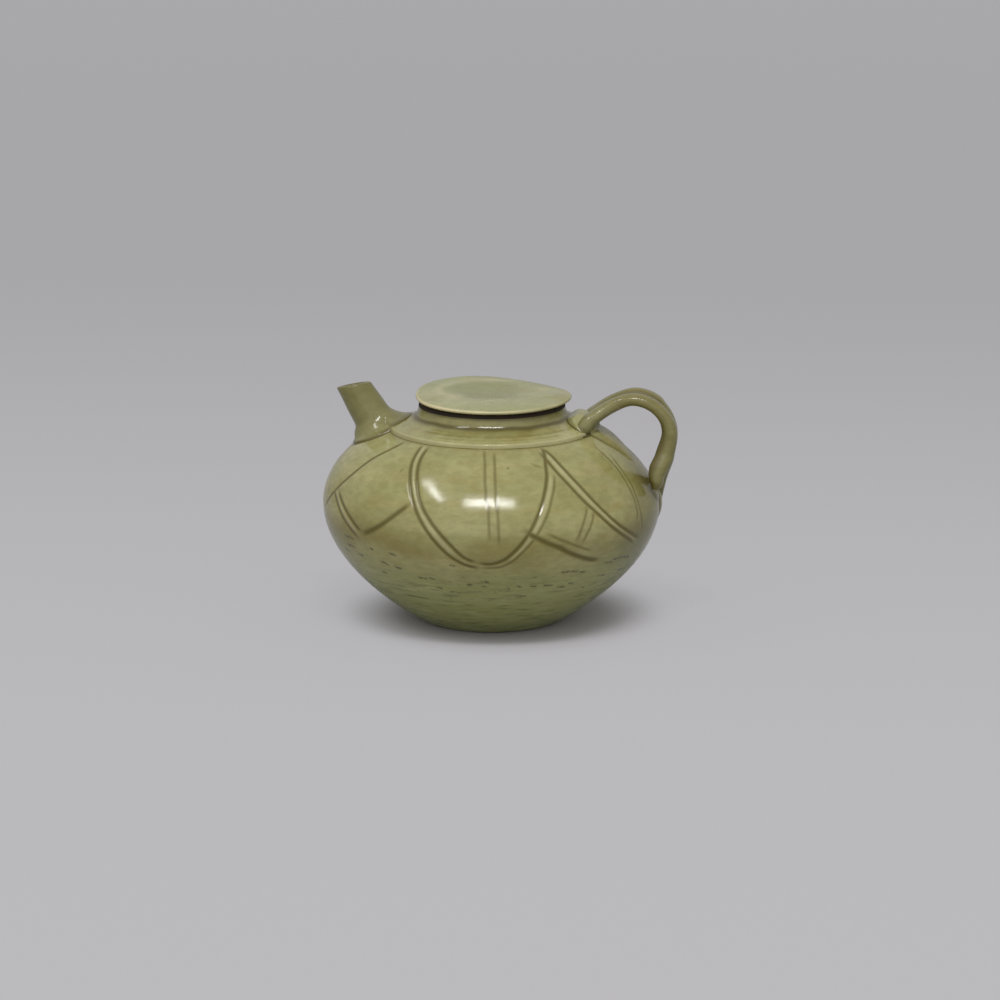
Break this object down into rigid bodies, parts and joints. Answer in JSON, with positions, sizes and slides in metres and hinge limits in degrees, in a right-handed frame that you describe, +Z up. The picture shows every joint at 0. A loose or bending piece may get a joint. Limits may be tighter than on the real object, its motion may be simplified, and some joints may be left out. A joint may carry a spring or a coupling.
{
  "type": "celadon teapot",
  "caption": "Low round-bellied celadon stoneware teapot with a short leaning spout, a double-strand loop handle and a flat lift-off lid.",
  "frame": {"origin": "centre of the flat base, on the surface that the pot stands on", "axes": "+Z up along the pot's axis, -X towards the spout, +X towards the handle"},
  "size_m": [0.1578, 0.15, 0.1047],
  "materials": {
    "celadon_body": "glossy transparent olive-green celadon glaze over grey stoneware",
    "celadon_spout_and_handle": "glossy celadon glaze, thicker and darker olive",
    "celadon_lid": "glossy celadon glaze, thinner and paler",
    "bare_stoneware": "matt unglazed stoneware"
  },
  "bodies": {
    "pot": {"body": "celadon_body", "shoulder_collar": "celadon_body", "spout": "celadon_spout_and_handle", "handle_front_strand": "celadon_spout_and_handle", "handle_back_strand": "celadon_spout_and_handle", "handle_upper_pad": "celadon_spout_and_handle", "handle_lower_pad": "celadon_spout_and_handle"},
    "lid": {"lid_disc": "celadon_lid", "lid_flange": "bare_stoneware"}
  },
  "joints": [
    {"name": "lid_lift", "type": "slide", "parent": "pot", "child": "lid", "axis": [0, 0, 1], "range_m": [0, 0.06]}
  ]
}
